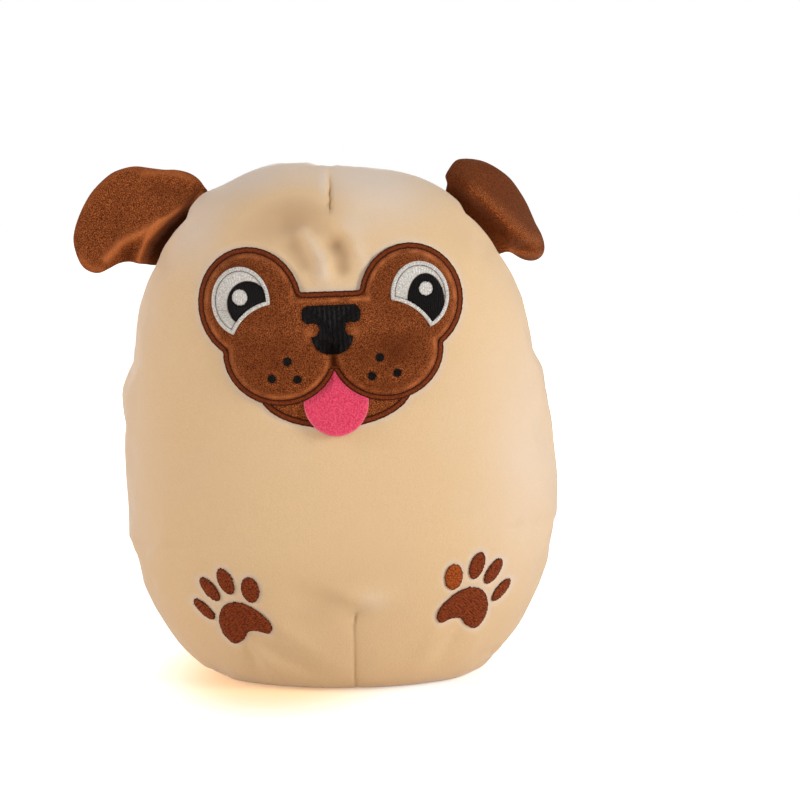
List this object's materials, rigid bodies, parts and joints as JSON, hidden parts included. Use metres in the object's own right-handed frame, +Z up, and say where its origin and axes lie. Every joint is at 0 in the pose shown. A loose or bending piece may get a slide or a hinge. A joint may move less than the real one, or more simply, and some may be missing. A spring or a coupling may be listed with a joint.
{
  "type": "plush pug",
  "caption": "Seated pillow-shaped plush pug with a padded brown muzzle, embroidered eyes, nose and paws, a felt tongue and folded ears that swing on the side seam.",
  "frame": {"origin": "under the middle of the toy, on the surface it sits on", "axes": "+Z up, the face looks along -Y, +X to the right as seen from the front"},
  "size_m": [0.2382, 0.1634, 0.2528],
  "materials": {
    "cream_cloth": "short pile",
    "brown_cloth": "short pile",
    "brown_thread": "satin stitch",
    "paw_thread": "satin stitch",
    "white_thread": "satin stitch",
    "black_thread": "satin stitch",
    "pink_felt": "felt",
    "fibre": "loose fibre"
  },
  "bodies": {
    "body": {"body_front_panel": "cream_cloth", "body_back_panel": "cream_cloth", "body_filling": "fibre", "muzzle_wadding": "fibre", "muzzle_patch": "brown_cloth", "muzzle_border": "brown_thread", "jaw_patch": "brown_cloth", "jaw_border": "brown_thread", "eye_rim_left": "white_thread", "eye_white_left": "white_thread", "pupil_left": "black_thread", "glint_left": "white_thread", "eye_rim_right": "white_thread", "eye_white_right": "white_thread", "pupil_right": "black_thread", "glint_right": "white_thread", "nose": "black_thread", "whisker_dot_left_1": "black_thread", "whisker_dot_left_2": "black_thread", "whisker_dot_left_3": "black_thread", "whisker_dot_right_1": "black_thread", "whisker_dot_right_2": "black_thread", "whisker_dot_right_3": "black_thread", "tongue_root": "pink_felt", "paw_pad_left": "paw_thread", "paw_toe_left_1": "paw_thread", "paw_toe_left_2": "paw_thread", "paw_toe_left_3": "paw_thread", "paw_toe_left_4": "paw_thread", "paw_pad_right": "paw_thread", "paw_toe_right_1": "paw_thread", "paw_toe_right_2": "paw_thread", "paw_toe_right_3": "paw_thread", "paw_toe_right_4": "paw_thread", "ear_tab_left": "brown_cloth", "ear_tab_right": "brown_cloth"},
    "ear_left": {"ear_front_left": "brown_cloth", "ear_back_left": "brown_cloth", "ear_wadding_left": "fibre"},
    "ear_right": {"ear_front_right": "brown_cloth", "ear_back_right": "brown_cloth", "ear_wadding_right": "fibre"},
    "tongue": {"tongue_flap": "pink_felt"}
  },
  "joints": [
    {"name": "ear_left_swing", "type": "hinge", "parent": "body", "child": "ear_left", "pos_m": [-0.05785, 0.00172, 0.23998], "axis": [0.5487, 0, 0.836], "range_deg": [-60, 55], "stiffness_Nm_per_rad": 0.02},
    {"name": "ear_right_swing", "type": "hinge", "parent": "body", "child": "ear_right", "pos_m": [0.06597, 0.00172, 0.24242], "axis": [0.6421, 0, -0.7666], "range_deg": [-20, 95], "stiffness_Nm_per_rad": 0.02},
    {"name": "tongue_lift", "type": "hinge", "parent": "body", "child": "tongue", "pos_m": [0.01013, -0.08048, 0.14201], "axis": [-0.9985, 0, -0.055], "range_deg": [0, 60], "stiffness_Nm_per_rad": 0.002}
  ]
}
